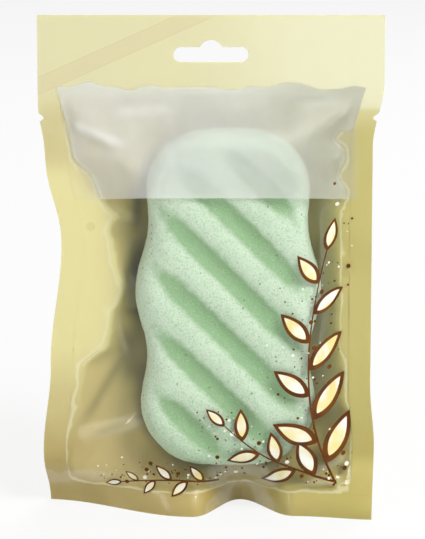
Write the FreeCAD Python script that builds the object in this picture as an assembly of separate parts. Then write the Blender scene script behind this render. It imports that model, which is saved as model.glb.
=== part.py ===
"""Hanging retail pouch with a moist konjac body sponge in it.

A clear front film and an opaque back film are heat-sealed along the header, both sides and the bottom.
The wave-shaped sponge lies loose in the pocket between them. Lengths are millimetres, +Z is up, the front
looks towards -Y, and the origin is on the standing plane, under the middle of the pouch.
"""

import FreeCAD
import Part
import math
import os

# Sponge: a block with lobed sides, rounded rims and slanting grooves in its front
sponge_length = 125.0
sponge_width = 68.0
sponge_thickness = 26.0
rim_radius = 9.5
rim_limit_share = 0.95
lobe_pitch = 47.0
lobe_depth = 4.4
lobe_lift = 3.0
top_exponent = 3.2
bottom_exponent = 4.0

# Grooves: scoops of one depth, evenly spaced, that run from upper left to lower right
groove_pitch = 16.4
groove_phase = 6.9
groove_depth = 2.6
groove_radius = 5.2
groove_end_margin = 6.5
groove_shortest = 20.0
groove_lip_radius = 4.0
lip_land_share = 0.95
groove_slant = math.radians(45.0)

# Room that the sponge has in the pouch, and how far it can slip upwards in it
side_room = 20.5
bottom_room = 10.5
top_room = 14.5
sponge_offset = 6.2
sponge_travel = 5.0
pocket_clearance = 0.9

# Films, and the outline that they are cut to
film_thickness = 0.16
left_pull_in = 8.0
right_pull_in = 4.0
# Heights are shares of the pouch's height, the second numbers are shares of the side's pull-in
left_edge_shares = ((0.0, 0.30), (0.12, 0.08), (0.30, 0.45), (0.55, 1.0), (0.72, 0.30), (0.83, 0.0))
right_edge_shares = ((0.0, 0.90), (0.13, 0.60), (0.26, 1.0), (0.74, 1.0), (0.87, 0.0))
# How far beside the sponge the two films lie apart before they cling to each other: heights are shares of
# the pouch's height, the second numbers are shares of the room from the sponge to the seal
left_cling_shares = (
    (0.12, 1.0), (0.29, 0.93), (0.345, 0.44), (0.39, 0.40), (0.45, 0.16), (0.51, 0.36),
    (0.575, 0.52), (0.60, 0.20), (0.63, 0.55), (0.68, 0.66), (0.73, 1.0),
)
right_cling_shares = (
    (0.20, 1.0), (0.235, 0.75), (0.29, 0.77), (0.35, 0.55), (0.44, 0.66), (0.47, 0.52), (0.55, 0.62),
    (0.61, 0.45), (0.64, 1.0), (0.68, 0.55), (0.725, 0.86), (0.755, 0.30), (0.80, 0.90), (0.83, 1.0),
)

# Heat seals: the bands where the inner plies of the films are melted into one
weld_thickness = 0.10
weld_clearance = 0.01
weld_margin = 1.5
side_seal_width = 8.0
bottom_seal_width = 8.0
header_height = 27.0

# Hang slot in the header: a long round-ended slot with a hump for the peg
slot_width = 27.0
slot_height = 5.5
slot_hump_rise = 2.6
slot_hump_radius = 4.2
slot_drop = 14.3

# Tear notches: one V in each side edge, a little below the header
notch_drop = 10.4
notch_depth = 2.2
notch_height = 2.8

# Bottom fold: the bottom seal stands in an S seen from above, which makes it the pouch's foot
fold_depth = 13.5
fold_height = 22.0
# Places are shares of half the pouch's width, depths are shares of fold_depth, positive to the back
fold_shares = ((-1.0, 1.0), (-0.10, -0.70), (0.17, 1.0), (0.48, -0.60), (1.0, -0.95))
fold_fade_shares = ((0.0, 1.0), (1.0, 0.0))

# Modelling counts, and the one overrun that all cuts share
field_columns = 60
field_rows = 86
edge_points = 24
outline_points = 72
chord_halvings = 40
spline_degree = 3
overrun = 5.0

# Places worked out from the sizes above
pouch_width = sponge_width + 2 * (side_room + side_seal_width)
half_width = pouch_width / 2
sponge_lift = bottom_seal_width + bottom_room
sponge_middle = sponge_lift + sponge_length / 2
pocket_bottom = bottom_seal_width
pocket_top = sponge_lift + sponge_length + top_room
pocket_middle = sponge_middle + sponge_travel / 2
pocket_depth = sponge_thickness / 2 + pocket_clearance
pouch_height = pocket_top + header_height
slot_centre = pouch_height - slot_drop
notch_centre = pocket_top - notch_drop
cut_depth = pocket_depth + fold_depth + overrun
cut_width = half_width + overrun


def vector(x, y, z):
    return FreeCAD.Vector(x, y, z)


def eased(shares, place):
    """Value at a place in a table of (place, value), with a soft S between neighbours and level ends."""
    if place <= shares[0][0]:
        return shares[0][1]
    for (start, low), (end, high) in zip(shares, shares[1:]):
        if place <= end:
            turn = math.pi * (place - start) / (end - start)
            return low + (high - low) * (1 - math.cos(turn)) / 2
    return shares[-1][1]


def left_edge(z):
    return -half_width + left_pull_in * eased(left_edge_shares, z / pouch_height)


def right_edge(z):
    return half_width - right_pull_in * eased(right_edge_shares, z / pouch_height)


def fold_offset(x, z):
    """Depth of the sheet between the two films: the S of the bottom seal, which dies out upwards."""
    fade = eased(fold_fade_shares, z / fold_height)
    return fold_depth * fade * eased(fold_shares, x / half_width)


def tent(out, room):
    """Half the gap between the films at a distance out from the sponge's edge, with room left to the seal.

    The film is level over the sponge, bends round its rim and runs straight from there to the seal.
    """
    bend = rim() + pocket_clearance
    bend_height = pocket_depth - bend
    if out <= -bend:
        return pocket_depth
    span = math.hypot(bend + room, bend_height)
    slope = math.atan2(bend_height, bend + room) + math.asin(bend / span)
    leave = room - math.sqrt(span**2 - bend**2) * math.cos(slope)
    if out < leave:
        return bend_height + math.sqrt(bend**2 - (out + bend) ** 2)
    return max(0.0, (room - out) * math.tan(slope))


def cling_edge(z, side):
    """Where the films meet beside the sponge. side is -1 on the left and 1 on the right."""
    beside = sponge_offset + side * (sponge_width / 2 + pocket_clearance)
    edge_at = left_edge if side < 0 else right_edge
    seal = edge_at(z) - side * (side_seal_width + weld_margin)
    shares = left_cling_shares if side < 0 else right_cling_shares
    return beside + (seal - beside) * eased(shares, z / pouch_height)


def bulge(x, z):
    """Distance of either film from the sheet between them, nothing where they cling or are sealed."""
    run_x = x - sponge_offset
    run_z = z - pocket_middle
    half_x = sponge_width / 2 + pocket_clearance
    half_z = (sponge_length + sponge_travel) / 2 + pocket_clearance
    edge_x = cling_edge(z, math.copysign(1, run_x))
    edge_z = pocket_bottom + weld_margin if run_z < 0 else pocket_top - weld_margin
    exponent = max(top_exponent, bottom_exponent)
    share = (abs(run_x / half_x) ** exponent + abs(run_z / half_z) ** exponent) ** (1 / exponent)
    limit = max(run_x / (edge_x - sponge_offset), run_z / (edge_z - pocket_middle))
    if share == 0 or limit == 0:
        return pocket_depth
    length = math.hypot(run_x, run_z)
    return tent(length - length / share, length / limit - length / share)


def greville(count):
    """Knots and multiplicities of a clamped even spline, and the places of its poles, from 0 to 1."""
    spans = count - spline_degree
    knots = [span / spans for span in range(spans + 1)]
    ends = spline_degree + 1
    multiplicities = [ends] + [1] * (spans - 1) + [ends]
    full = [knots[0]] * spline_degree + knots + [knots[-1]] * spline_degree
    places = [sum(full[i + 1 : i + ends]) / spline_degree for i in range(count)]
    return knots, multiplicities, places


def sheet_face(depth_at):
    """Smooth sheet whose depth follows depth_at(x, z), a little larger than the pouch on every side."""
    knots_x, counts_x, places_x = greville(field_columns)
    knots_z, counts_z, places_z = greville(field_rows)
    span_x = pouch_width + 2 * overrun
    span_z = pouch_height + 2 * overrun
    poles = []
    for place_x in places_x:
        x = place_x * span_x - span_x / 2
        column = []
        for place_z in places_z:
            z = place_z * span_z - overrun
            column.append(vector(x, depth_at(x, z), z))
        poles.append(column)
    surface = Part.BSplineSurface()
    surface.buildFromPolesMultsKnots(
        poles, counts_x, counts_z, knots_x, knots_z, False, False, spline_degree, spline_degree
    )
    return surface.toShape()


def polygon_face(points):
    corners = [vector(x, 0, z) for x, z in points]
    return Part.Face(Part.makePolygon(corners + corners[:1]))


def side_curve(edge_at, low, high):
    """Spline up one side of the pouch, through points of edge_at."""
    heights = [low + (high - low) * i / (edge_points - 1) for i in range(edge_points)]
    curve = Part.BSplineCurve()
    curve.interpolate([vector(edge_at(z), 0, z) for z in heights])
    return curve.toShape()


def outline_face():
    """Flat outline of the pouch, pulled in beside the sponge, reaching a little below the standing plane."""
    left_top = left_edge_shares[-1][0] * pouch_height
    right_top = right_edge_shares[-1][0] * pouch_height
    left = side_curve(left_edge, -overrun / 2, left_top)
    right = side_curve(right_edge, -overrun / 2, right_top)
    top_left = vector(-half_width, 0, pouch_height)
    top_right = vector(half_width, 0, pouch_height)
    edges = [
        left,
        Part.makeLine(left.Vertexes[-1].Point, top_left),
        Part.makeLine(top_left, top_right),
        Part.makeLine(top_right, right.Vertexes[-1].Point),
        right,
        Part.makeLine(right.Vertexes[0].Point, left.Vertexes[0].Point),
    ]
    return Part.Face(Part.Wire(Part.__sortEdges__(edges)))


def slot_face():
    """Hang slot: round ends, and a hump in the middle of its upper edge."""
    end_radius = slot_height / 2
    reach = slot_width / 2
    straight = reach - end_radius
    hump = math.sqrt(slot_hump_radius**2 - (slot_hump_radius - slot_hump_rise) ** 2)
    low, middle, high = (slot_centre + step * end_radius for step in (-1, 0, 1))
    crest = high + slot_hump_rise
    lower_left, lower_right = vector(-straight, 0, low), vector(straight, 0, low)
    upper_left, upper_right = vector(-straight, 0, high), vector(straight, 0, high)
    hump_left, hump_right = vector(-hump, 0, high), vector(hump, 0, high)
    edges = [
        Part.makeLine(lower_left, lower_right),
        Part.Arc(lower_right, vector(reach, 0, middle), upper_right).toShape(),
        Part.makeLine(upper_right, hump_right),
        Part.Arc(hump_right, vector(0, 0, crest), hump_left).toShape(),
        Part.makeLine(hump_left, upper_left),
        Part.Arc(upper_left, vector(-reach, 0, middle), lower_left).toShape(),
    ]
    return Part.Face(Part.Wire(edges))


def notch_face(edge_at, inward):
    """V cut into a side edge, from twice as wide outside. inward is 1 on the left and -1 on the right."""
    edge = edge_at(notch_centre)
    outside = edge - inward * notch_depth
    tip = edge + inward * notch_depth
    points = (
        (outside, notch_centre - notch_height),
        (tip, notch_centre),
        (outside, notch_centre + notch_height),
    )
    return polygon_face(points)


def cut_outline():
    """Outline with the hang slot and both tear notches cut out."""
    face = outline_face().cut(slot_face())
    face = face.cut(notch_face(left_edge, 1))
    return face.cut(notch_face(right_edge, -1))


def punch(face):
    """Prism through the whole depth of the pouch, with the given flat outline."""
    prism = face.extrude(vector(0, 2 * cut_depth, 0))
    prism.translate(vector(0, -cut_depth, 0))
    return prism


def stand(solid):
    """The solid cut off flat at the standing plane."""
    corner = vector(-cut_width, -cut_depth, -overrun)
    return solid.cut(Part.makeBox(2 * cut_width, 2 * cut_depth, overrun, corner)).Solids[0]


def make_film(outline, side):
    """One film. side is -1 for the front and 1 for the back."""

    def inner_depth(x, z):
        return fold_offset(x, z) + side * (weld_thickness / 2 + bulge(x, z))

    sheet = sheet_face(inner_depth).common(punch(outline))
    return stand(sheet.extrude(vector(0, side * film_thickness, 0)))


def seal_bands():
    """Flat outlines of the four seals, before the pouch outline trims them."""
    high = pouch_height + overrun

    def left_inner(z):
        return left_edge(z) + side_seal_width

    def right_inner(z):
        return right_edge(z) - side_seal_width

    def side_band(inner_at, outside):
        inner = side_curve(inner_at, pocket_bottom, pocket_top)
        low_inner, high_inner = inner.Vertexes[0].Point, inner.Vertexes[-1].Point
        low_outer = vector(outside, 0, pocket_bottom)
        high_outer = vector(outside, 0, pocket_top)
        edges = [
            inner,
            Part.makeLine(high_inner, high_outer),
            Part.makeLine(high_outer, low_outer),
            Part.makeLine(low_outer, low_inner),
        ]
        return Part.Face(Part.Wire(edges))

    return {
        "header_seal": polygon_face(
            ((-cut_width, pocket_top), (cut_width, pocket_top), (cut_width, high), (-cut_width, high))
        ),
        "bottom_seal": polygon_face(
            (
                (-cut_width, -overrun),
                (cut_width, -overrun),
                (cut_width, pocket_bottom),
                (-cut_width, pocket_bottom),
            )
        ),
        "left_seal": side_band(left_inner, -cut_width),
        "right_seal": side_band(right_inner, cut_width),
    }


def make_seals(outline):
    """The fused ply between the films, as four bands that follow the fold."""
    half = weld_thickness / 2 - weld_clearance

    def near_face(x, z):
        return fold_offset(x, z) - half

    sheet = sheet_face(near_face)
    seals = {}
    for name, band in seal_bands().items():
        trimmed = sheet.common(punch(outline.common(band)))
        seals[name] = stand(trimmed.extrude(vector(0, 2 * half, 0)))
    return seals


def rim():
    """Rounding of the sponge's rims, no larger than half its thickness has room for."""
    return min(rim_radius, rim_limit_share * sponge_thickness / 2)


def sponge_half_width(z):
    """Half the sponge's width beside its middle line, with the lobes of its sides. z is from its middle."""
    turn = 2 * math.pi * (z - lobe_lift) / lobe_pitch
    return sponge_width / 2 - lobe_depth * (1 - math.cos(turn)) / 2


def sponge_exponent(z):
    return top_exponent if z > 0 else bottom_exponent


def sponge_outline_point(turn):
    """Point of the lobed outline at an angle from its middle: a rounded oblong, rounder at the top."""
    exponent = sponge_exponent(math.sin(turn))
    across = math.copysign(abs(math.cos(turn)) ** (2 / exponent), math.cos(turn))
    along = math.copysign(abs(math.sin(turn)) ** (2 / exponent), math.sin(turn))
    z = along * sponge_length / 2
    return across * sponge_half_width(z), z


def inside_outline(x, z):
    exponent = sponge_exponent(z)
    across = abs(x / sponge_half_width(z)) ** exponent
    return across + abs(2 * z / sponge_length) ** exponent < 1


def groove_reach(x, z, step_x, step_z):
    """Distance from a point inside the outline to the outline, along a direction."""
    low, high = 0.0, sponge_length
    for _ in range(chord_halvings):
        middle = (low + high) / 2
        if inside_outline(x + step_x * middle, z + step_z * middle):
            low = middle
        else:
            high = middle
    return low


def groove_cutters(front):
    """Rings whose outermost stretch scoops the grooves out of the front, one for each long enough run."""
    run_x, run_z = math.cos(groove_slant), -math.sin(groove_slant)
    side_x, side_z = math.sin(groove_slant), math.cos(groove_slant)
    most = math.ceil(sponge_length / groove_pitch)
    cutters = []
    for index in range(-most, most + 1):
        offset = groove_phase + index * groove_pitch
        x, z = side_x * offset, side_z * offset
        ahead = groove_reach(x, z, run_x, run_z)
        behind = groove_reach(x, z, -run_x, -run_z)
        length = ahead + behind - 2 * groove_end_margin
        if length < groove_shortest:
            continue
        shift = (ahead - behind) / 2
        reach = length**2 / (8 * groove_depth) + groove_depth / 2
        centre = vector(
            sponge_offset + x + run_x * shift,
            front + groove_depth - reach,
            sponge_middle + z + run_z * shift,
        )
        axis = vector(side_x, 0, side_z)
        cutters.append(Part.makeTorus(reach - groove_radius, groove_radius, centre, axis))
    return cutters


def lip_radius():
    """Rounding of the groove lips, no larger than the land between two grooves has room for."""
    wall_angle = math.acos((groove_radius - groove_depth) / groove_radius)
    land = groove_pitch - 2 * groove_radius * math.sin(wall_angle)
    return min(groove_lip_radius, lip_land_share * land / (2 * math.tan(wall_angle / 2)))


def make_sponge():
    """Lobed block with rounded rims, and grooves whose lips are rounded over."""
    front = -sponge_thickness / 2
    points = []
    for step in range(outline_points):
        x, z = sponge_outline_point(2 * math.pi * step / outline_points)
        points.append(vector(sponge_offset + x, front, sponge_middle + z))
    curve = Part.BSplineCurve()
    curve.interpolate(points, PeriodicFlag=True)
    block = Part.Face(Part.Wire(curve.toShape())).extrude(vector(0, sponge_thickness, 0))
    rims = [edge for edge in block.Edges if edge.isClosed()]
    sponge = block.makeFillet(rim(), rims)
    for cutter in groove_cutters(front):
        sponge = sponge.cut(cutter)
    scoops = [face for face in sponge.Faces if isinstance(face.Surface, Part.Toroid)]
    lips = [edge for face in scoops for edge in face.Edges if not edge.Degenerated]
    return sponge.makeFillet(lip_radius(), lips).Solids[0]


def main():
    outline = cut_outline()
    parts = {
        "front_film": make_film(outline, -1),
        "back_film": make_film(outline, 1),
        "sponge": make_sponge(),
    }
    parts.update(make_seals(outline))
    os.makedirs("parts", exist_ok=True)
    for name, shape in parts.items():
        shape.exportStep(f"parts/{name}.step")
        print(name, round(shape.Volume, 2), shape.isValid(), len(shape.Faces))


main()
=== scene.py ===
"""Looks of a hanging retail pouch with a moist konjac sponge in it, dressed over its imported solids.

The file is laid out as an add-on and is run as a script. Lengths are metres, in the frame of the solids:
+Z is up, the clear front looks towards -Y, and the standing plane is at z = 0.
"""

import math
import random

import bmesh
import bpy
import numpy as np
from mathutils import Matrix, Vector, noise
from mathutils.bvhtree import BVHTree


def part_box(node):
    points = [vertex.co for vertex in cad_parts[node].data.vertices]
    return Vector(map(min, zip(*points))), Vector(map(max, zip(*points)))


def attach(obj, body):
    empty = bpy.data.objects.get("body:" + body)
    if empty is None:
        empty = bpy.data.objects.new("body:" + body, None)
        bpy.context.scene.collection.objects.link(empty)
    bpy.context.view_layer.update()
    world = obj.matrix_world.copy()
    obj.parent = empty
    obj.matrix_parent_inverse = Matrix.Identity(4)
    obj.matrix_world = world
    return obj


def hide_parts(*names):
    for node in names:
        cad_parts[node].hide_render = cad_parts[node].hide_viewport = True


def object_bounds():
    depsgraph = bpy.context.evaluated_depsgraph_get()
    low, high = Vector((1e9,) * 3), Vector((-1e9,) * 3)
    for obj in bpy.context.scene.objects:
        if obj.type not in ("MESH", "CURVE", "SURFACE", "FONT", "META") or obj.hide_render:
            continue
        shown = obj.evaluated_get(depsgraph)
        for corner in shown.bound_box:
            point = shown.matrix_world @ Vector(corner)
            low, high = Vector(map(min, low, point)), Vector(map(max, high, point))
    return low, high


bl_info = {
    "name": "Konjac Sponge Pouch",
    "version": (1, 0, 0),
    "blender": (4, 5, 0),
    "location": "View3D > Sidebar > Pouch",
    "description": "Dresses the solids of a packed konjac sponge with films, seals, foam and print",
    "category": "Object",
}

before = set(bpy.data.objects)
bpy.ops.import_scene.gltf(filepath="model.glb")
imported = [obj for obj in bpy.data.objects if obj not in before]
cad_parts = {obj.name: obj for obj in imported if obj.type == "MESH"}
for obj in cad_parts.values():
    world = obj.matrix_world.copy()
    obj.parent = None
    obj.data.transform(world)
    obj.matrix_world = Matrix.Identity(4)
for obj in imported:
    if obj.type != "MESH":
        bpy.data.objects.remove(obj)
cad_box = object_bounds()

FRONT = -1
BACK = 1
FILMS = {"front_film": FRONT, "back_film": BACK}
SEALS = ("header_seal", "bottom_seal", "left_seal", "right_seal")
MILLIMETRE = 0.001

# Depths are read a little inside the edges of a solid: share kept of a film, and margin of a seal
FILM_SHARE = 0.9995
SEAL_MARGIN = 0.05 * MILLIMETRE

# Folds of the front film, in millimetres: from and to as (across, height), then width and rise
FOLDS = (
    ((-55, 147), (-31, 139), 2.4, 1.1),
    ((-55, 159), (-34, 154.5), 2.0, 0.8),
    ((-36, 150), (-14, 152), 3.0, 0.7),
    ((54, 156), (46, 148), 1.6, 0.9),
    ((30, 153), (48, 156), 2.4, 0.7),
    ((53, 140), (44, 133), 1.5, 0.7),
    ((-50, 29.5), (-27, 37.5), 2.8, 2.0),
    ((18, 20), (24, 10), 1.8, 0.8),
    ((33, 22), (41, 11), 1.6, 0.8),
    ((54, 14), (48, 22), 1.3, 0.7),
    ((31, 10), (52, 13.5), 2.0, 1.2),
    ((38, 17), (52, 22), 2.0, 0.9),
    ((-38, 107), (-30.5, 84), 1.3, 0.9),
    ((-38, 107), (-29, 112), 1.2, 0.8),
    ((-36, 78), (-30, 60), 1.6, 0.8),
)

# Painted shade in the film's valleys beside the folds, only in colour, in millimetres: from and to as
# (across, height), width, depth of shade
SHADE_VALLEYS = (
    ((-33, 56), (-47, 33), 2.0, 0.36),
    ((-27, 119), (-27.5, 104), 2.2, 0.55),
    ((-30, 67), (-29, 47), 4.0, 0.55),
    ((-26, 32), (-44, 27.5), 1.7, 0.40),
    ((34, 21), (52, 15), 1.8, 0.26),
    ((53, 19), (55, 14), 1.2, 0.4),
)

# Sprigs of the print, in millimetres: start, bend and end of the stem, then the number and length of leaves
SPRIGS = (
    ((46, 12), (27, 48), (42, 100), 9, 21.0),
    ((45, 13), (24, 18), (5, 36), 6, 17.0),
    ((3, 12), (-14, 15), (-33, 11), 6, 9.5),
)

# Bubbles tried along the sprigs, and their radii and spread (across, up) in millimetres
BUBBLES = 480
BUBBLE_RADII = (0.2, 0.25, 0.3, 0.4, 0.5, 0.8)
BUBBLE_SPREAD = (6, 4.5)

# Lamps: name, place as seen from the camera's aim, size and power in watts
LAMPS = (
    ("key", (0.62, -0.75, 0.85), (0.5, 0.5), 13.5),
    ("fill", (-0.8, -1.1, 0.35), (0.16, 0.9), 2.2),
    ("rear", (0.3, 0.9, 0.8), (0.8, 0.6), 6.0),
)


def paint(red, green, blue):
    """A screen colour, 0 to 255, as the linear values that shaders use."""
    shares = [value / 255 for value in (red, green, blue)]
    return tuple(s / 12.92 if s <= 0.04045 else ((s + 0.055) / 1.055) ** 2.4 for s in shares)


class FilmSettings(bpy.types.PropertyGroup):
    cell: bpy.props.FloatProperty(
        name="Cell", description="Width of the mesh cells of films and seals",
        default=0.0009, unit="LENGTH",
    )
    thickness: bpy.props.FloatProperty(
        name="Thickness", description="Thickness of each film", default=0.00016, unit="LENGTH"
    )
    lift: bpy.props.FloatProperty(
        name="Lift", description="How far the films stand off the seals", default=0.00008, unit="LENGTH"
    )
    pleat_depth: bpy.props.FloatProperty(
        name="Pleat depth", description="Depth of the pleats round the sponge",
        default=0.0007, unit="LENGTH",
    )
    ripple_depth: bpy.props.FloatProperty(
        name="Ripple depth", description="Depth of the ripples in the clinging film",
        default=0.0003, unit="LENGTH",
    )
    band_low: bpy.props.FloatProperty(
        name="Band foot", description="Height of the milky band's lower edge",
        default=0.1176, unit="LENGTH",
    )
    band_rise: bpy.props.FloatProperty(
        name="Band rise", description="Share of the bulge by which the band's edge is drawn up",
        default=0.231,
    )
    head_colour: bpy.props.FloatVectorProperty(
        name="Head colour", description="Cream at the header",
        subtype="COLOR", default=paint(229, 224, 180),
    )
    middle_colour: bpy.props.FloatVectorProperty(
        name="Middle colour", description="Cream beside the sponge",
        subtype="COLOR", default=paint(235, 226, 162),
    )
    foot_colour: bpy.props.FloatVectorProperty(
        name="Foot colour", description="Tan at the bottom seal",
        subtype="COLOR", default=paint(182, 161, 90),
    )
    milk_colour: bpy.props.FloatVectorProperty(
        name="Milk colour", description="White of the milky band",
        subtype="COLOR", default=paint(243, 245, 242),
    )
    # Painted shade of the milky band on its right
    shaded_milk_colour: bpy.props.FloatVectorProperty(
        name="Shaded milk colour", description="Milky band on the right",
        subtype="COLOR", default=paint(196, 197, 184),
    )
    # Darker tan where the films lie apart: partly the film's duller tone there, partly painted shade inside
    # the pocket
    gap_tone_and_shade_colour: bpy.props.FloatVectorProperty(
        name="Gap tone and shade colour", description="Tan behind the air gap",
        subtype="COLOR", default=paint(208, 188, 122),
    )
    # Painted shade of the cream on the right
    right_shade_colour: bpy.props.FloatVectorProperty(
        name="Right shade colour", description="Olive cream on the right",
        subtype="COLOR", default=paint(186, 175, 92),
    )
    # Painted shadow of the sponge on the film's inside, and painted shade in the valleys
    painted_shade_colour: bpy.props.FloatVectorProperty(
        name="Painted shade colour", description="Dark olive next to the sponge",
        subtype="COLOR", default=paint(64, 66, 28),
    )
    # Painted sheen on the header's right
    sheen_colour: bpy.props.FloatVectorProperty(
        name="Sheen colour", description="Sheen of the header's right",
        subtype="COLOR", default=paint(240, 240, 212),
    )
    stripe_colour: bpy.props.FloatVectorProperty(
        name="Stripe colour", description="Stripe on the header",
        subtype="COLOR", default=paint(196, 160, 118),
    )


class SpongeSettings(bpy.types.PropertyGroup):
    cell: bpy.props.FloatProperty(
        name="Cell", description="Width of the foam's mesh cells", default=0.0007, unit="LENGTH"
    )
    groove_pitch: bpy.props.FloatProperty(
        name="Groove pitch", description="From groove to groove", default=0.0164, unit="LENGTH"
    )
    groove_phase: bpy.props.FloatProperty(
        name="Groove phase", description="From the middle to the first groove",
        default=0.0069, unit="LENGTH",
    )
    wave_depth: bpy.props.FloatProperty(
        name="Wave depth", description="Depth of the waves between the ridges",
        default=0.0014, unit="LENGTH",
    )
    grain_size: bpy.props.FloatProperty(
        name="Grain size", description="Width of the foam's modelled lumps",
        default=0.0021, unit="LENGTH",
    )
    grain_depth: bpy.props.FloatProperty(
        name="Grain depth", description="Depth of the foam's modelled lumps",
        default=0.00022, unit="LENGTH",
    )
    ridge_colour: bpy.props.FloatVectorProperty(
        name="Ridge colour", description="Pale mint of the ridges",
        subtype="COLOR", default=paint(213, 233, 207),
    )
    # The grooves' green is partly the foam's moister tone and partly painted shade
    groove_colour: bpy.props.FloatVectorProperty(
        name="Groove colour", description="Green of the grooves",
        subtype="COLOR", default=paint(146, 186, 134),
    )
    speck_colour: bpy.props.FloatVectorProperty(
        name="Speck colour", description="Dark green specks",
        subtype="COLOR", default=paint(96, 128, 84),
    )


class PrintSettings(bpy.types.PropertyGroup):
    stem_width: bpy.props.FloatProperty(
        name="Stem width", description="Width of the printed stems", default=0.0009, unit="LENGTH"
    )
    height: bpy.props.FloatProperty(
        name="Height", description="How far outlines and bubbles lie above the film",
        default=0.00014, unit="LENGTH",
    )
    leaf_height: bpy.props.FloatProperty(
        name="Leaf height", description="How far the leaves lie above the film",
        default=0.00024, unit="LENGTH",
    )
    brown: bpy.props.FloatVectorProperty(
        name="Brown", description="Dark ink of the outlines", subtype="COLOR", default=paint(86, 44, 4)
    )
    light_brown: bpy.props.FloatVectorProperty(
        name="Light brown", description="Patches of the brown ink",
        subtype="COLOR", default=paint(108, 62, 12),
    )
    white: bpy.props.FloatVectorProperty(
        name="White", description="White ink of leaves and bubbles",
        subtype="COLOR", default=paint(244, 243, 232),
    )
    yellow: bpy.props.FloatVectorProperty(
        name="Yellow", description="Yellow patches of the leaves",
        subtype="COLOR", default=paint(236, 222, 150),
    )


class StageSettings(bpy.types.PropertyGroup):
    distance: bpy.props.FloatProperty(
        name="Distance", description="From the camera to the pouch", default=1.2, unit="LENGTH"
    )
    azimuth: bpy.props.FloatProperty(
        name="Azimuth", description="Turn of the camera to the right",
        default=math.radians(0.1), subtype="ANGLE",
    )
    elevation: bpy.props.FloatProperty(
        name="Elevation", description="Rise of the camera", default=math.radians(13.0), subtype="ANGLE"
    )
    lens: bpy.props.FloatProperty(
        name="Lens", description="Focal length for a 36 mm wide sensor, in millimetres", default=278.6
    )
    aim: bpy.props.FloatVectorProperty(
        name="Aim", description="Point that the camera looks at",
        subtype="XYZ", default=(0.0005, 0.0, 0.0914),
    )
    ambient: bpy.props.FloatProperty(
        name="Ambient", description="Strength of the surroundings' light", default=0.30
    )
    floor_size: bpy.props.FloatProperty(
        name="Floor size", description="Width of the floor", default=6.0, unit="LENGTH"
    )


class PouchSettings(bpy.types.PropertyGroup):
    film: bpy.props.PointerProperty(type=FilmSettings)
    sponge: bpy.props.PointerProperty(type=SpongeSettings)
    ink: bpy.props.PointerProperty(type=PrintSettings)
    stage: bpy.props.PointerProperty(type=StageSettings)


class Signal:
    """An output socket of a material, on which Python's operators add Math nodes."""

    def __init__(self, tree, socket=None):
        self.tree = tree
        self.socket = socket

    def feed(self, target, value):
        """Links a signal to a socket, or sets the socket to a number, a vector or a colour."""
        if isinstance(value, Signal):
            self.tree.links.new(value.socket, target)
        elif target.type == "RGBA":
            target.default_value = (*value, 1.0)
        else:
            target.default_value = value

    def node(self, kind, settings=(), inputs=(), output=0):
        """Any node: its type, its settings, which are set first, and the values or links of its sockets."""
        made = self.tree.nodes.new(kind)
        for name, value in dict(settings).items():
            if name == "stops":
                set_stops(made.color_ramp, value)
            else:
                setattr(made, name, value)
        for name, value in dict(inputs).items():
            self.feed(made.inputs[name], value)
        return Signal(self.tree, made.outputs[output])

    def math(self, operation, *values):
        return self.node("ShaderNodeMath", {"operation": operation}, dict(enumerate(values)))

    def __add__(self, other):
        return self.math("ADD", self, other)

    def __sub__(self, other):
        return self.math("SUBTRACT", self, other)

    def __rsub__(self, other):
        return self.math("SUBTRACT", other, self)

    def __mul__(self, other):
        return self.math("MULTIPLY", self, other)

    __radd__ = __add__
    __rmul__ = __mul__

    def between(self, low, high):
        """0 below low, 1 above high and a soft S between them. High may be the smaller one."""
        settings = {"interpolation_type": "SMOOTHSTEP"}
        return self.node("ShaderNodeMapRange", settings, {0: self, 1: low, 2: high})

    def mix(self, first, second):
        """The first colour where the signal is 0, the second where it is 1."""
        inputs = {0: self, 6: first, 7: second}
        return self.node("ShaderNodeMix", {"data_type": "RGBA"}, inputs, output=2)


def set_stops(ramp, stops):
    """Colours of a ramp at their places, from 0 to 1."""
    while len(ramp.elements) > 1:
        ramp.elements.remove(ramp.elements[-1])
    ramp.elements[0].position = stops[0][0]
    ramp.elements[0].color = (*stops[0][1], 1.0)
    for place, colour in stops[1:]:
        ramp.elements.new(place).color = (*colour, 1.0)


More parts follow.
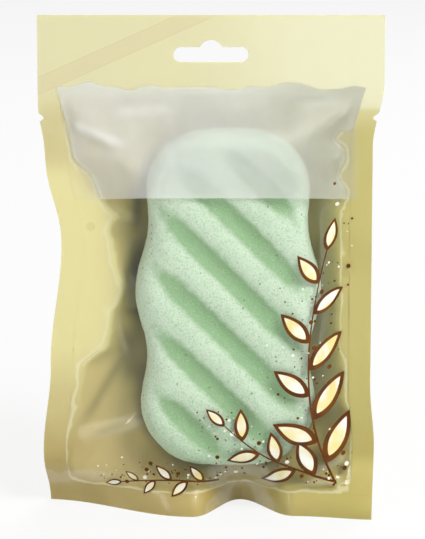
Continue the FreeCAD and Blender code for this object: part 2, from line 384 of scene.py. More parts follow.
class Finish:
    """A new material with one Principled shader, whose sockets are set or fed by name."""

    def __init__(self, name, constants=()):
        self.material = bpy.data.materials.new(name)
        self.material.use_nodes = True
        tree = self.material.node_tree
        self.start = Signal(tree)
        self.shader = tree.nodes["Principled BSDF"]
        self.output = tree.nodes["Material Output"]
        for socket, value in dict(constants).items():
            self.set(socket, value)

    def set(self, socket, value):
        self.start.feed(self.shader.inputs[socket], value)

    def place(self):
        """The object's own coordinates, and each of them alone: across, depth and height."""
        place = self.start.node("ShaderNodeTexCoord", output="Object")
        parts = [self.start.node("ShaderNodeSeparateXYZ", (), {0: place}, output=axis) for axis in "XYZ"]
        return place, *parts

    def attribute(self, name):
        return self.start.node("ShaderNodeAttribute", {"attribute_name": name}, output="Fac")

    def noise(self, place, scale, detail=2.0):
        inputs = {"Vector": place, "Scale": scale, "Detail": detail}
        return self.start.node("ShaderNodeTexNoise", (), inputs)

    def scatter(self, place, scale, rare, radii):
        """Round spots in the share 1 - rare of all cells. radii are their outer and inner ones."""
        cells = {"Vector": place, "Scale": scale}
        near = self.start.node("ShaderNodeTexVoronoi", (), cells, output="Distance")
        pick = self.start.node("ShaderNodeTexVoronoi", (), cells, output="Color")
        chance = self.start.node("ShaderNodeSeparateColor", (), {0: pick}, output=0)
        return near.between(*radii) * chance.between(rare, rare + 0.03)

    def bump(self, height, distance, strength=1.0):
        inputs = {"Height": height, "Distance": distance, "Strength": strength}
        self.set("Normal", self.start.node("ShaderNodeBump", (), inputs))

    def show_through(self, cover):
        """Lets what lies behind show, except for the share of the surface that cover gives."""
        clear = self.start.node("ShaderNodeBsdfTransparent")
        solid = Signal(self.start.tree, self.shader.outputs[0])
        blend = self.start.node("ShaderNodeMixShader", (), {0: cover, 1: clear, 2: solid})
        self.start.feed(self.output.inputs["Surface"], blend)


def ease(value, low, high):
    """0 below low, 1 above high and a soft S between them."""
    share = min(1.0, max(0.0, (value - low) / (high - low)))
    return share * share * (3 - 2 * share)


def search_tree(mesh):
    return BVHTree.FromPolygons([v.co for v in mesh.vertices], [p.vertices for p in mesh.polygons])


def depth_reader(node, side):
    """Makes a function for the depth of a solid at a place across and a height, seen from one side."""
    tree = search_tree(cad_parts[node].data)
    outside = side * (cad_box[1][1] - cad_box[0][1])

    def depth(x, z):
        hit = tree.ray_cast(Vector((x, outside, z)), Vector((0, -side, 0)))[0]
        return (hit or tree.find_nearest(Vector((x, 0, z)))[0]).y

    return depth


def side_edges(node):
    """Left and right edge of a flat solid, each as its heights and places, read off its side walls."""
    bm = bmesh.new()
    bm.from_mesh(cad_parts[node].data)
    bmesh.ops.remove_doubles(bm, verts=bm.verts, dist=1e-7)
    slot_zone = (cad_box[1][0] - cad_box[0][0]) / 6
    edges = []
    for side in (-1, 1):
        reach = {}
        for face in bm.faces:
            if abs(face.normal.y) > 0.05 or face.normal.x * side < 0.2:
                continue
            for vert in face.verts:
                height = round(vert.co.z, 6)
                if abs(vert.co.x) > slot_zone:
                    reach[height] = max(side * vert.co.x, reach.get(height, -1.0))
        heights = sorted(reach)
        edges.append((np.array(heights), np.array([side * reach[height] for height in heights])))
    bm.free()
    return edges


class HangSlot:
    """The slot through the header, read off the walls that it has in the header seal."""

    def __init__(self):
        bm = bmesh.new()
        bm.from_mesh(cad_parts["header_seal"].data)
        low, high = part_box("header_seal")
        zone = (high.x - low.x) / 6
        walls = []
        for face in bm.faces:
            middle = face.calc_center_median()
            inside = low.z + MILLIMETRE < middle.z < high.z - MILLIMETRE
            if abs(face.normal.y) < 0.5 and abs(middle.x) < zone and inside:
                walls.append(face)
        bmesh.ops.delete(bm, geom=[face for face in bm.faces if face not in walls], context="FACES")
        self.wall = BVHTree.FromBMesh(bm)
        self.low_x, self.high_x = (pick(v.co.x for v in bm.verts) for pick in (min, max))
        self.low_z, self.high_z = (pick(v.co.z for v in bm.verts) for pick in (min, max))
        bm.free()
        self.seal = search_tree(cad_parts["header_seal"].data)

    def near(self, point, margin):
        across = self.low_x - margin < point.x < self.high_x + margin
        return across and self.low_z - margin < point.z < self.high_z + margin

    def holds(self, point):
        """Whether a point of the header lies in the open slot."""
        ray = self.seal.ray_cast(Vector((point.x, -MILLIMETRE, point.z)), Vector((0, 1, 0)))
        return ray[0] is None and self.near(point, 0.0)

    def punch(self, bm, cell):
        """Opens the slot in a flat sheet: refines cells, deletes those inside, draws the rim to the wall."""
        close = [edge for edge in bm.edges if all(self.near(v.co, cell) for v in edge.verts)]
        bmesh.ops.subdivide_edges(bm, edges=close, cuts=3, use_grid_fill=True)
        bmesh.ops.delete(bm, geom=[v for v in bm.verts if self.holds(v.co)], context="VERTS")
        for vert in bm.verts:
            if vert.is_boundary and self.near(vert.co, cell):
                spot = self.wall.find_nearest(Vector((vert.co.x, 0.0, vert.co.z)))[0]
                vert.co.x, vert.co.z = spot.x, spot.z


def link(name, data):
    thing = bpy.data.objects.new(name, data)
    bpy.context.scene.collection.objects.link(thing)
    return thing


def bake_modifiers(thing):
    """Makes the modifiers' result the object's own mesh."""
    bpy.context.view_layer.update()
    shown = thing.evaluated_get(bpy.context.evaluated_depsgraph_get())
    mesh = bpy.data.meshes.new_from_object(shown)
    thing.modifiers.clear()
    old = thing.data
    thing.data = mesh
    bpy.data.meshes.remove(old)
    mesh.name = thing.name


def flat_piece(name, node, cell, side, shape, slot=None, lift=0.0):
    """A sheet of even cells over a flat solid, from edge to edge, with the hang slot if one is given.

    shape gives the sheet's depth at a place across and a height, and lift moves it along its normals.
    """
    low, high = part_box(node)
    left, right = side_edges(node)
    columns = round((high.x - low.x) / cell)
    rows = round((high.z - low.z) / cell)
    bm = bmesh.new()
    bmesh.ops.create_grid(bm, x_segments=columns, y_segments=rows, size=0.5)
    for vert in bm.verts:
        across, up = vert.co.x + 0.5, vert.co.y + 0.5
        z = low.z + (high.z - low.z) * up
        start, end = np.interp(z, *left), np.interp(z, *right)
        vert.co = Vector((start + (end - start) * across, 0.0, z))
    if slot:
        slot.punch(bm, cell)
    for vert in bm.verts:
        vert.co.y = shape(vert.co.x, vert.co.z)
    if side == BACK:
        bmesh.ops.reverse_faces(bm, faces=bm.faces)
    bm.normal_update()
    lifted = [vert.co + vert.normal * lift for vert in bm.verts]
    for vert, place in zip(bm.verts, lifted):
        vert.co = place
    mesh = bpy.data.meshes.new(name)
    bm.to_mesh(mesh)
    bm.free()
    return link(name, mesh)


def thicken(thing, thickness, outside, inside):
    """Gives a sheet its thickness, on the inside, and a material for each face."""
    thing.data.materials.append(outside)
    thing.data.materials.append(inside)
    solid = thing.modifiers.new("wall", "SOLIDIFY")
    solid.thickness = thickness
    solid.offset = -1.0
    solid.material_offset = 1
    bake_modifiers(thing)
    thing.data.shade_smooth()
    thing.data.set_sharp_from_angle(angle=math.radians(50))


def write_attribute(thing, name, values):
    layer = thing.data.attributes.new(name, "FLOAT", "POINT")
    layer.data.foreach_set("value", np.asarray(values, np.float32))


def ridge_sum(ridges, x, z):
    """Height at a place of ridges that rise and die out along their lines."""
    spot = Vector((x, z)) / MILLIMETRE
    past, grown = 0.2, 0.25
    total = 0.0
    for start, end, width, height in ridges:
        run = Vector(end) - Vector(start)
        along = (spot - Vector(start)).dot(run) / run.length_squared
        if -past < along < 1 + past:
            aside = (spot - Vector(start) - run * along).length / width
            ends = ease(along, -past, grown) * (1 - ease(along, 1 - grown, 1 + past))
            total += height * ends * math.exp(-aside * aside)
    return total


class Pocket:
    """The room between the two films: where they cling, where they lie apart, and how they are creased."""

    def __init__(self, film):
        self.film = film
        self.low, self.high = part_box("bottom_seal")[1].z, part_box("header_seal")[0].z
        self.front = depth_reader("front_film", FRONT)
        self.back = depth_reader("back_film", BACK)
        self.together = self.back(0, cad_box[1][2] - MILLIMETRE) - self.front(0, cad_box[1][2] - MILLIMETRE)
        low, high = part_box("sponge")
        self.centre = (low + high) / 2
        self.half = (high - low) / 2
        self.sponge = search_tree(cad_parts["sponge"].data)

    def gap(self, x, z):
        """Distance between the films, nothing where they cling or are sealed."""
        return max(0.0, self.back(x, z) - self.front(x, z) - self.together)

    def damp(self, spot):
        """Painted shade on the film's inside: the sponge's shadow beside it, most on its left and below, and
        painted shade in the valleys.
        """
        reach = self.sponge.find_nearest(spot)[3]
        left = 1 - ease(spot.x, self.centre.x - self.half.x, self.centre.x)
        below = 1 - ease(spot.z, self.centre.z - self.half.z, self.centre.z - 0.8 * self.half.z)
        # Reach from the sponge at which the painted shadow is full, and at which it is gone
        shade_full_reach, shade_none_reach = 1.8 * MILLIMETRE, 6.6 * MILLIMETRE
        darkest = 0.95
        shade = (1 - ease(reach, shade_full_reach, shade_none_reach)) * max(0.10 + 0.70 * left, 0.6 * below)
        return min(darkest, shade + ridge_sum(SHADE_VALLEYS, spot.x, spot.z))

    def pleat(self, x, z, gap, seed):
        """Soft pleats that run outwards from the sponge, strongest half way down the film's slope."""
        run_x, run_z = x - self.centre.x, z - self.centre.z
        turn = math.atan2(run_z / self.half.z, run_x / self.half.x)
        radius = math.hypot(run_x, run_z)
        slope = gap / (2 * self.half.y)
        strength = ease(slope, 0.02, 0.35) * (1 - ease(slope, 0.75, 1.0))
        ring = Vector((math.cos(turn) * 2.4, math.sin(turn) * 2.4, seed + radius * 14))
        fine = Vector((math.cos(turn) * 7, math.sin(turn) * 7, seed + radius * 30))
        wave = 0.85 * abs(noise.noise(ring)) + 0.15 * abs(noise.noise(fine))
        return self.film.pleat_depth * strength * 2 * wave

    def fold(self, x, z, gap):
        """Rise of the front film's own folds, only where air lies behind it."""
        return ridge_sum(FOLDS, x, z) * MILLIMETRE * ease(gap, 0.3 * MILLIMETRE, 4 * MILLIMETRE)

    def ripple(self, x, z):
        """Low waves that both films share where they cling."""
        broad = noise.noise(Vector((x * 95, z * 70, 3.0)))
        fine = noise.noise(Vector((x * 220, z * 160, 8.0)))
        return self.film.ripple_depth * (broad + 0.5 * fine)

    def calm(self, x, z, edges):
        """0 at the film's sides and in the header and bottom seals, and 1 well inside them."""
        left, right = (np.interp(z, *edge) for edge in edges)
        inset = min(x - left, right - x, z - self.low, self.high - z)
        return ease(inset, 0.0, 6 * MILLIMETRE)


def clear_film_finish(film):
    """Clear glossy film, milky in a band across its head and faintly hazy wherever air lies behind it, with
    a painted highlight on the ridges of its folds and painted shade on the band's right.

    The attributes gap and crease are in millimetres. The band's upper edge wavers along the header's weld,
    and its sides lean in towards the foot.
    """
    finish = Finish("clear_film")
    place, across, depth, height = finish.place()
    gap = finish.attribute("gap")
    crease = finish.attribute("crease").between(0.15, 1.5)
    cloud = finish.noise(place, 60.0, 3.0).between(0.3, 0.75)

    level = height + depth * film.band_rise
    band = level.between(film.band_low - 0.0002, film.band_low + 0.0002)
    weld_low, weld_waver = 0.1540, 0.010
    edge = finish.start.node("ShaderNodeCombineXYZ", (), {0: across})
    edge = finish.noise(edge, 55.0, 1.0) * weld_waver + weld_low
    corner_height, corner_lean = 0.158, 0.29
    slant = (corner_height - height) * corner_lean
    weld = (edge - height).between(-0.0004, 0.0004) * height.between(0.142, 0.144)
    weld = weld * (across - slant).between(-0.0562, -0.0552) * (across + slant).between(0.0562, 0.0552)
    apart = finish.start.math("MAXIMUM", gap.between(0.1, 1.2), weld)
    inner = across.between(-0.056, -0.036) * across.between(0.0545, 0.0500) * height.between(0.152, 0.140)
    milk = band * (apart + (1 - apart) * inner * 0.40)

    haze = gap.between(0.3, 2.5) * (1 - band) * (cloud * 0.03 + 0.01)
    # Painted highlight: a whitish-tan cover on the ridges of the front film's folds
    haze = haze + crease * 0.26
    rim = finish.start.node("ShaderNodeFresnel", (), {"IOR": 1.45})
    # Painted shade: the milky band dims towards the right
    veil = (across.between(0.0, 0.05) * 0.85).mix(tuple(film.milk_colour), tuple(film.shaded_milk_colour))
    clear_gloss, ridge_highlight = (0.95, 0.95, 0.93), (0.92, 0.83, 0.55)
    finish.set("Base Color", milk.mix(crease.mix(clear_gloss, ridge_highlight), veil))
    finish.set("Metallic", (1 - milk) * (1 - gap.between(0.3, 2.5) * 0.7))
    finish.set("Roughness", milk * 0.28 + cloud * 0.06 + 0.09)
    finish.show_through(rim * 0.3 + 0.008 + milk * (cloud * 0.08 + 0.44) + haze)
    return finish.material


def clear_inside_finish():
    """Inner face of the clear film, which adds only a little gloss."""
    finish = Finish("clear_film_inside", {"Roughness": 0.2, "Metallic": 1.0, "Base Color": (1.0, 1.0, 1.0)})
    rim = finish.start.node("ShaderNodeFresnel", (), {"IOR": 1.2})
    finish.show_through(rim * 0.12)
    return finish.material


def cream_finish(name, film, inside):
    """Cream film, tan towards the foot, with a faint slanting stripe on the header, broad patches of painted
    shade, painted shade towards its right and a painted sheen on the header's right.

    Its inside is brighter where the clear film clings to it and darker tan where the two lie apart, partly
    the film's duller tone there and partly painted shade, with a thin pale line where the two part and small
    dull spots, and it carries a painted shadow next to the sponge and painted shade in the valleys. The
    attribute gap is in millimetres.
    """
    finish = Finish(name)
    place, across, _, height = finish.place()
    share = height.node("ShaderNodeMapRange", (), {0: height, 1: 0.0, 2: cad_box[1][2]})
    foot, middle, head = (tuple(c) for c in (film.foot_colour, film.middle_colour, film.head_colour))
    stops = ((0.0, foot), (0.10, foot), (0.34, middle), (0.66, middle), (0.86, head), (1.0, head))
    cream = share.node("ShaderNodeValToRGB", {"stops": stops}, {0: share})
    cloud = finish.noise(place, 70.0, 3.0).between(0.3, 0.7)
    mottle, parting_line = (0.84, 0.78, 0.42), (0.95, 0.91, 0.66)
    cream = (cloud * 0.16).mix(cream, mottle)
    # Painted shade of the clinging film's low undulations: broad darker patches below the header
    wave = finish.noise(place, 27.0, 1.0).between(0.50, 0.68) * height.between(0.160, 0.145)
    cream = (wave * 0.4).mix(cream, foot)
    # Painted shade: the cream turns olive towards the right, below the header
    olive = across.between(0.0, 0.05) * height.between(0.160, 0.140)
    cream = (olive * 0.75).mix(cream, tuple(film.right_shade_colour))
    if inside:
        gap = finish.attribute("gap")
        gap = gap * ((finish.noise(place, 110.0, 3.0) - 0.5) * 3.5 + 1)
        # Darker tan where the films lie apart, partly their duller tone and partly painted shade, weaker on
        # the right
        hollow = gap.between(0.4, 3.0) * (0.7 - across.between(0.0, 0.03) * 0.5)
        cream = hollow.mix(cream, tuple(film.gap_tone_and_shade_colour))
        line = gap.between(0.05, 0.15) * (1 - gap.between(0.2, 0.5))
        cream = (line * 0.40).mix(cream, parting_line)
        drops = finish.scatter(place, 120.0, 0.72, (0.24, 0.19))
        dull = drops * gap.between(0.3, 0.05) * height.between(0.150, 0.135)
        cream = (dull * 0.30).mix(cream, foot)
        # Painted shadow next to the sponge and painted shade in the valleys darken the inside
        cream = finish.attribute("damp").mix(cream, tuple(film.painted_shade_colour))
    stripe_slope, stripe_low, stripe_high, border_width, blur = 0.45, 0.1839, 0.1906, 0.0004, 0.0001
    level = height - across * stripe_slope
    above = height.between(0.150, 0.152)

    def strip(low, high):
        return level.between(low - blur, low + blur) * level.between(high + blur, high - blur)

    stripe = strip(stripe_low, stripe_high) * above
    border = stripe * (1 - strip(stripe_low + border_width, stripe_high - border_width))
    # Painted sheen: the header turns paler towards its right
    cream = (across.between(-0.01, 0.04) * above * 0.55).mix(cream, tuple(film.sheen_colour))
    cream = (stripe * 0.14 + border * 0.10).mix(cream, tuple(film.stripe_colour))
    cream = (height.between(0.1838, 0.1844) * 0.35).mix(cream, middle)
    finish.set("Base Color", cream)
    finish.set("Roughness", cloud * 0.12 + 0.36)
    finish.bump(finish.noise(place, 240.0, 2.0), 0.00004, 0.5)
    return finish.material


def make_film(node, film, pocket, slot, outside, inside):
    """One film with its folds, and the attributes that its two finishes read."""
    side = FILMS[node]
    edges = side_edges(node)
    reader = pocket.front if side == FRONT else pocket.back
    cling = 12 * MILLIMETRE

    def shape(x, z):
        near_x, near_z = x * FILM_SHARE, pocket.centre.z + (z - pocket.centre.z) * FILM_SHARE
        gap = pocket.gap(near_x, near_z)
        calm = pocket.calm(x, z, edges)
        wave = calm * pocket.ripple(x, z) * (1 - ease(gap, 0.0, cling))
        puff = pocket.pleat(x, z, gap, 5.0 + side)
        if side == FRONT:
            puff += pocket.fold(x, z, gap)
        return reader(near_x, near_z) + wave + side * calm * puff

    piece = flat_piece(node + "_sheet", node, film.cell, side, shape, slot, film.lift)
    thicken(piece, film.thickness, outside, inside)
    spots = [v.co.copy() for v in piece.data.vertices]
    gaps = [pocket.gap(spot.x * FILM_SHARE, spot.z) for spot in spots]
    write_attribute(piece, "gap", np.array(gaps) / MILLIMETRE)
    if side == FRONT:
        folds = [pocket.fold(spot.x, spot.z, gap) for spot, gap in zip(spots, gaps)]
        write_attribute(piece, "crease", np.array(folds) / MILLIMETRE)
    else:
        # Painted shade of the back film's inside: the sponge's shadow and the shade in the valleys
        write_attribute(piece, "damp", [pocket.damp(spot) for spot in spots])
    return piece


class POUCH_OT_films(bpy.types.Operator):
    """Clear front film and cream back film, creased round the sponge"""

    bl_idname = "pouch.films"
    bl_label = "Films"

    def execute(self, context):
        film = context.scene.pouch.film
        pocket = Pocket(film)
        slot = HangSlot()
        finishes = {
            "front_film": ("clear_film", clear_film_finish(film), clear_inside_finish()),
            "back_film": (
                "cream_film",
                cream_finish("cream_film", film, False),
                cream_finish("inside", film, True),
            ),
        }
        for node, (slot_name, outside, inside) in finishes.items():
            piece = make_film(node, film, pocket, slot, outside, inside)
            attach(piece, "pouch")
            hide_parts(node)
        return {"FINISHED"}


class POUCH_OT_seals(bpy.types.Operator):
    """Heat seals of the header, the bottom and both sides"""

    bl_idname = "pouch.seals"
    bl_label = "Seals"

    def execute(self, context):
        film = context.scene.pouch.film
        slot = HangSlot()
        finish = cream_finish("seal", film, False)
        header_low, header_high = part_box("header_seal")
        for node in SEALS:
            reader = depth_reader(node, FRONT)
            low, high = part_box(node)
            centre, half = (low + high) / 2, (high - low) / 2
            share_x, share_z = 1 - SEAL_MARGIN / half.x, 1 - SEAL_MARGIN / half.z

            def shape(x, z):
                return reader(centre.x + (x - centre.x) * share_x, centre.z + (z - centre.z) * share_z)

            opening = slot if node == "header_seal" else None
            piece = flat_piece(node + "_weld", node, film.cell, FRONT, shape, opening)
            thicken(piece, header_high.y - header_low.y, finish, finish)
            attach(piece, "pouch")
            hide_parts(node)
        return {"FINISHED"}


class Print:
    """Flat printed shapes, laid on the outside of the front film."""

    def __init__(self, name, film_piece, height):
        self.name = name
        self.bm = bmesh.new()
        self.film = search_tree(film_piece.data)
        self.height = height

    def add(self, columns, rows, shape):
        """A patch of cells whose places across and heights come from shape(share along, share across)."""
        made = bmesh.ops.create_grid(self.bm, x_segments=columns, y_segments=rows, size=0.5)
        for vert in made["verts"]:
            x, z = shape(vert.co.x + 0.5, 2 * vert.co.y)
            vert.co = Vector((x, 0.0, z))

    def leaf(self, root, tip, width):
        """A pointed leaf from its root to its tip, broadest a little before its middle."""
        run = tip - root
        side = Vector((-run.y, run.x)).normalized()
        count = max(6, round(run.length / (0.5 * MILLIMETRE)))

        def shape(along, aside):
            breadth = width / 2 * math.sin(math.pi * along**0.85) ** 0.9
            return root + run * along + side * aside * breadth

        self.add(count, 6, shape)

    def line(self, route, width):
        """A stroke that thins towards its end. route gives its points from share 0 to 1."""

        def shape(along, aside):
            here, ahead = route(along), route(along + 0.01)
            run = (ahead - here).normalized()
            return here + Vector((-run.y, run.x)) * aside * width / 2 * (1 - 0.6 * along)

        self.add(90, 2, shape)

    def dot(self, centre, radius):
        made = bmesh.ops.create_circle(self.bm, cap_ends=True, segments=14, radius=radius)
        for vert in made["verts"]:
            vert.co = Vector((centre.x + vert.co.x, 0.0, centre.y + vert.co.y))

    def finish(self, material):
        """Lays the shapes on the film as one thin piece."""
        bmesh.ops.remove_doubles(self.bm, verts=self.bm.verts, dist=2e-6)
        for vert in self.bm.verts:
            hit = self.film.ray_cast(Vector((vert.co.x, -1.0, vert.co.z)), Vector((0, 1, 0)))[0]
            vert.co.y = hit.y - self.height
        bmesh.ops.recalc_face_normals(self.bm, faces=self.bm.faces)
        for face in self.bm.faces:
            if face.normal.y > 0:
                face.normal_flip()
        mesh = bpy.data.meshes.new(self.name)
        self.bm.to_mesh(mesh)
        self.bm.free()
        piece = link(self.name, mesh)
        thicken(piece, self.height / 2, material, material)
        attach(piece, "pouch")


def ink_finish(name, colour, fade):
    """Printing ink, a little uneven, with soft patches of a second colour."""
    finish = Finish(name, {"Specular IOR Level": 0.15})
    place = finish.place()[0]
    patch = finish.noise(place, 130.0, 2.0).between(0.35, 0.68)
    finish.set("Base Color", patch.mix(tuple(colour), tuple(fade)))
    finish.set("Roughness", patch * 0.1 + 0.3)
    return finish.material


def arc_route(start, control, end):
    """A line from start to end that bends towards control, in millimetres, by the share along it."""
    start, control, end = (Vector(place) * MILLIMETRE for place in (start, control, end))

    def route(share):
        return start * (1 - share) ** 2 + control * 2 * share * (1 - share) + end * share**2

    return route


class POUCH_OT_print(bpy.types.Operator):
    """Leaf sprigs and bubbles printed on the front film"""

    bl_idname = "pouch.print"
    bl_label = "Print"

    def execute(self, context):
        ink = context.scene.pouch.ink
        film_piece = bpy.data.objects["front_film_sheet"]
        brown = Print("print_outline", film_piece, ink.height)
        cream = Print("print_leaves", film_piece, ink.leaf_height)
        white = Print("print_bubbles", film_piece, ink.height)
        leaf_swing, leaf_width_share = math.radians(48), 0.44
        fill_root_share, fill_tip_share, fill_width_share = 0.14, 0.12, 0.27
        leaf_spot_shares, clear_share, brown_share = (0.1, 0.3, 0.5, 0.7, 0.9), 0.2, 0.66
        right_limit, low_limit = 53.5 * MILLIMETRE, 11 * MILLIMETRE
        draw = random.Random(7)
        taken = []
        for start, bend, end, leaves, length in SPRIGS:
            route = arc_route(start, bend, end)
            brown.line(route, ink.stem_width)
            for index in range(leaves):
                share = (index + 1) / leaves
                root = route(share)
                run = (route(share) - route(share - 0.02)).normalized()
                swing = 0.0 if index == leaves - 1 else leaf_swing * (1 if index % 2 else -1)
                reach = length * MILLIMETRE * (1.05 - 0.45 * share) * draw.uniform(0.9, 1.1)
                heading = Vector((run.x, run.y))
                heading.rotate(Matrix.Rotation(swing, 2))
                tip = root + heading * reach
                brown.leaf(root, tip, reach * leaf_width_share)
                taken += [(root.lerp(tip, part), reach * clear_share) for part in leaf_spot_shares]
                fill_root = root + heading * reach * fill_root_share
                fill_tip = tip - heading * reach * fill_tip_share
                cream.leaf(fill_root, fill_tip, reach * fill_width_share)
        for index in range(BUBBLES):
            route = arc_route(*SPRIGS[index % len(SPRIGS)][:3])
            spread = Vector([draw.gauss(0, width) for width in BUBBLE_SPREAD])
            spot = route(draw.uniform(0.0, 1.15)) + spread * MILLIMETRE
            radius = draw.choice(BUBBLE_RADII) * MILLIMETRE
            kind = brown if draw.random() < brown_share else white
            free = all((spot - other).length > radius + reach for other, reach in taken)
            if free and spot.x < right_limit and spot.y > low_limit:
                kind.dot(spot, radius)
                taken.append((spot, radius))
        brown.finish(ink_finish("brown_ink", ink.brown, ink.light_brown))
        cream.finish(ink_finish("cream_ink", ink.white, ink.yellow))
        white.finish(ink_finish("white_ink", ink.white, ink.white))
        return {"FINISHED"}


def foam_finish(sponge):
    """Moist konjac foam: pale ridges, greener hollows that are partly its moister tone and partly painted
    shade, painted shade towards its foot, fine pores and sparse dark specks.
    """
    finish = Finish("konjac_foam")
    place, _, _, height = finish.place()
    ridge, groove = tuple(sponge.ridge_colour), tuple(sponge.groove_colour)
    speck, light_pore = tuple(sponge.speck_colour), (0.80, 0.90, 0.78)
    # hollow drives the grooves' green: partly the foam's moister tone, partly painted shade in the hollows
    hollow = finish.attribute("hollow").between(-0.42, 0.50)
    grain = finish.noise(place, 1600.0, 4.0)
    patch = finish.noise(place, 130.0, 3.0)
    base = hollow.mix(ridge, groove)
    # Painted shade: the foam turns greener and darker towards its foot, which faces down
    base = (height.between(0.050, 0.018) * 0.45).mix(base, groove)
    base = (grain.between(0.52, 0.66) * (0.48 - hollow * 0.25)).mix(base, groove)
    base = (grain.between(0.46, 0.34) * (0.42 - hollow * 0.25)).mix(base, light_pore)
    base = (patch.between(0.5, 0.75) * 0.18).mix(base, groove)
    base = (finish.scatter(place, 330.0, 0.72, (0.17, 0.09)) * 0.75).mix(base, speck)
    base = (finish.scatter(place, 620.0, 0.80, (0.17, 0.09)) * 0.55).mix(base, speck)
    finish.set("Base Color", base)
    finish.set("Roughness", 0.55 - hollow * 0.15)
    finish.set("Subsurface Weight", 0.2)
    finish.set("Subsurface Radius", (1.0, 1.0, 0.8))
    finish.set("Subsurface Scale", 0.0015)
    finish.bump(grain + finish.noise(place, 2600.0, 2.0) * 0.6, 0.0003, 0.8)
    return finish.material


def read_waves(bm, sponge):
    """For each vertex 1 along the slanting grooves, 0 on the ridges, the sides and the back."""
    low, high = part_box("sponge")
    centre = (low + high) / 2
    waves = []
    bm.normal_update()
    for vert in bm.verts:
        aside = (vert.co.x - centre.x + vert.co.z - centre.z) / math.sqrt(2) - sponge.groove_phase
        wave = 0.5 + 0.5 * math.cos(2 * math.pi * aside / sponge.groove_pitch)
        waves.append(ease(-vert.normal.y, 0.45, 0.95) * wave**1.4)
    return waves


def relax(bm, rounds):
    for _ in range(rounds):
        bmesh.ops.smooth_vert(
            bm, verts=bm.verts, factor=0.5, use_axis_x=True, use_axis_y=True, use_axis_z=True
        )


class POUCH_OT_sponge(bpy.types.Operator):
    """Konjac sponge as one lump of foam"""

    bl_idname = "pouch.sponge"
    bl_label = "Sponge"

    def execute(self, context):
        sponge = context.scene.pouch.sponge
        piece = link("sponge_foam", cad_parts["sponge"].data.copy())
        bm = bmesh.new()
        bm.from_mesh(piece.data)
        bmesh.ops.remove_doubles(bm, verts=bm.verts, dist=1e-7)
        bm.to_mesh(piece.data)
        bm.free()
        remesh = piece.modifiers.new("cells", "REMESH")
        remesh.mode = "VOXEL"
        remesh.voxel_size = sponge.cell
        bake_modifiers(piece)
        bm = bmesh.new()
        bm.from_mesh(piece.data)
        waves = read_waves(bm, sponge)
        for vert, wave in zip(bm.verts, waves):
            vert.co.y += sponge.wave_depth * wave
        soften_rounds, level_rounds, wave_tint = 55, 150, 0.30
        relax(bm, soften_rounds)
        bm.normal_update()
        for vert in bm.verts:
            spot = vert.co / sponge.grain_size
            lump = noise.noise(spot) * 0.7 + noise.noise(spot * 2.3) * 0.45
            vert.co += vert.normal * sponge.grain_depth * lump
        bm.normal_update()
        rest = [vert.co.copy() for vert in bm.verts]
        normals = [vert.normal.copy() for vert in bm.verts]
        bm.to_mesh(piece.data)
        relax(bm, level_rounds)
        hollow = [(v.co - r).dot(n) / MILLIMETRE for v, r, n in zip(bm.verts, rest, normals)]
        bm.free()
        # The groove tint that hollow carries is partly painted shade; the waves draw it along the grooves to
        # the edges
        write_attribute(piece, "hollow", np.array(hollow) + wave_tint * np.array(waves))
        piece.data.shade_smooth()
        piece.data.materials.clear()
        piece.data.materials.append(foam_finish(sponge))
        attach(piece, "sponge")
        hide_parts("sponge")
        return {"FINISHED"}


def white_to_the_eye(tree, shader, kind, share):
    """Mixes a share of plain white light into a shader, for rays from the camera, gloss or glass."""
    start = Signal(tree)
    path = tree.nodes.new("ShaderNodeLightPath")
    rays = ("Is Camera Ray", "Is Glossy Ray", "Is Transmission Ray")
    camera, gloss, glass = (Signal(tree, path.outputs[ray]) for ray in rays)
    seen = start.math("MAXIMUM", start.math("MAXIMUM", camera, gloss), glass)
    white = start.node(kind, (), {"Color": (1.0, 1.0, 1.0), "Strength": 1.0})
    return start.node("ShaderNodeMixShader", (), {0: seen * share, 1: shader, 2: white})


def add_floor(size):
    bm = bmesh.new()
    bmesh.ops.create_grid(bm, x_segments=4, y_segments=4, size=size / 2)
    mesh = bpy.data.meshes.new("floor")
    bm.to_mesh(mesh)
    bm.free()
    floor = link("floor", mesh)
    finish = Finish("floor", {"Base Color": (0.9, 0.9, 0.9), "Roughness": 0.9})
    tree = finish.material.node_tree
    lit = Signal(tree, finish.shader.outputs[0])
    both = white_to_the_eye(tree, lit, "ShaderNodeEmission", 0.8)
    both.feed(finish.output.inputs["Surface"], both)
    mesh.materials.append(finish.material)


def add_surroundings(strength):
    """White surroundings that light the pouch with the given strength."""
    world = bpy.data.worlds.new("surroundings")
    bpy.context.scene.world = world
    world.use_nodes = True
    tree = world.node_tree
    ambient = tree.nodes["Background"]
    ambient.inputs["Color"].default_value = (1.0, 1.0, 1.0, 1.0)
    ambient.inputs["Strength"].default_value = strength
    both = white_to_the_eye(tree, Signal(tree, ambient.outputs[0]), "ShaderNodeBackground", 1.0)
    both.feed(tree.nodes["World Output"].inputs["Surface"], both)


def add_lamp(name, place, aim, size, power):
    data = bpy.data.lights.new(name, "AREA")
    data.shape = "RECTANGLE"
    data.size, data.size_y = size
    data.energy = power
    lamp = link(name, data)
    lamp.location = place
    lamp.rotation_euler = (aim - place).to_track_quat("-Z", "Y").to_euler()


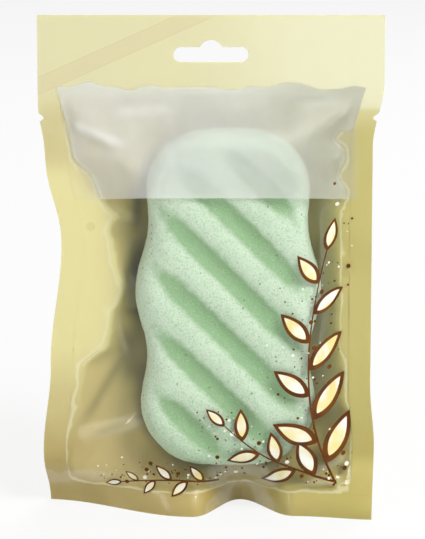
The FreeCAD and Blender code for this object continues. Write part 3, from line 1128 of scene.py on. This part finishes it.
def add_camera(stage, aim):
    data = bpy.data.cameras.new("camera")
    data.sensor_fit = "HORIZONTAL"
    data.sensor_width = 36.0
    data.lens = stage.lens
    data.clip_end = 20.0
    camera = link("camera", data)
    level = math.cos(stage.elevation)
    away = Vector(
        (math.sin(stage.azimuth) * level, -math.cos(stage.azimuth) * level, math.sin(stage.elevation))
    )
    camera.location = aim + away * stage.distance
    camera.rotation_euler = (-away).to_track_quat("-Z", "Y").to_euler()
    bpy.context.scene.camera = camera


class POUCH_OT_stage(bpy.types.Operator):
    """Pale floor, white surroundings, soft lamps and the camera"""

    bl_idname = "pouch.stage"
    bl_label = "Stage"

    def execute(self, context):
        stage = context.scene.pouch.stage
        aim = Vector(stage.aim)
        add_floor(stage.floor_size)
        add_surroundings(stage.ambient)
        for name, offset, size, power in LAMPS:
            add_lamp(name, aim + Vector(offset), aim, size, power)
        add_camera(stage, aim)
        context.scene.view_settings.view_transform = "Standard"
        return {"FINISHED"}


OPERATORS = (POUCH_OT_films, POUCH_OT_seals, POUCH_OT_print, POUCH_OT_sponge, POUCH_OT_stage)


class POUCH_PT_panel(bpy.types.Panel):
    """Settings and steps of the pouch"""

    bl_idname = "POUCH_PT_panel"
    bl_label = "Konjac Sponge Pouch"
    bl_space_type = "VIEW_3D"
    bl_region_type = "UI"
    bl_category = "Pouch"

    def draw(self, context):
        settings = context.scene.pouch
        for group in (settings.film, settings.ink, settings.sponge, settings.stage):
            box = self.layout.box()
            for name in group.__annotations__:
                box.prop(group, name)
        for operator in OPERATORS:
            self.layout.operator(operator.bl_idname)


SETTINGS = (FilmSettings, SpongeSettings, PrintSettings, StageSettings, PouchSettings)
CLASSES = (*SETTINGS, *OPERATORS, POUCH_PT_panel)


def register():
    for cls in CLASSES:
        bpy.utils.register_class(cls)
    bpy.types.Scene.pouch = bpy.props.PointerProperty(type=PouchSettings)


def unregister():
    del bpy.types.Scene.pouch
    for cls in reversed(CLASSES):
        bpy.utils.unregister_class(cls)


def main():
    register()
    bpy.ops.pouch.films()
    bpy.ops.pouch.seals()
    bpy.ops.pouch.print()
    bpy.ops.pouch.sponge()
    bpy.ops.pouch.stage()


if __name__ == "__main__":
    main()
